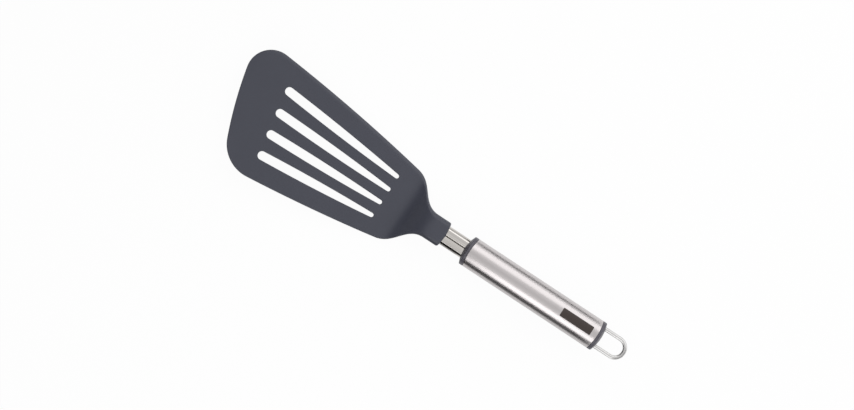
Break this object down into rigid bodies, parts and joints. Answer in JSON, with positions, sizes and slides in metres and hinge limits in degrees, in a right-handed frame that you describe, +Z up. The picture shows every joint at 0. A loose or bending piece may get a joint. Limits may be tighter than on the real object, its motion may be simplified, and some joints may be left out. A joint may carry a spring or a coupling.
{
  "type": "slotted turner",
  "caption": "Cranked nylon kitchen turner with fanned slots and a slanted front, on a flat steel shank in a round steel tube handle with collar, end cap and wire hanging loop.",
  "frame": {"origin": "middle of the tool's box, on the plane that the heel of the head and the underside of the handle rest on", "axes": "+X along the handle towards the hanging loop, -X towards the tip of the blade, +Y across towards the leading front corner, +Z up"},
  "size_m": [0.3458, 0.0908, 0.023],
  "materials": {
    "head_nylon": "satin moulded nylon, slate grey",
    "handle_nylon": "satin moulded nylon, slate grey with a violet cast",
    "brushed_steel": "stainless steel tube brushed along its length",
    "polished_steel": "polished stainless steel bar and wire"
  },
  "bodies": {
    "root": {"turner_head": "head_nylon", "shank": "polished_steel", "front_collar": "handle_nylon", "handle_tube": "brushed_steel", "end_cap": "handle_nylon", "hanging_loop": "polished_steel"}
  },
  "joints": []
}
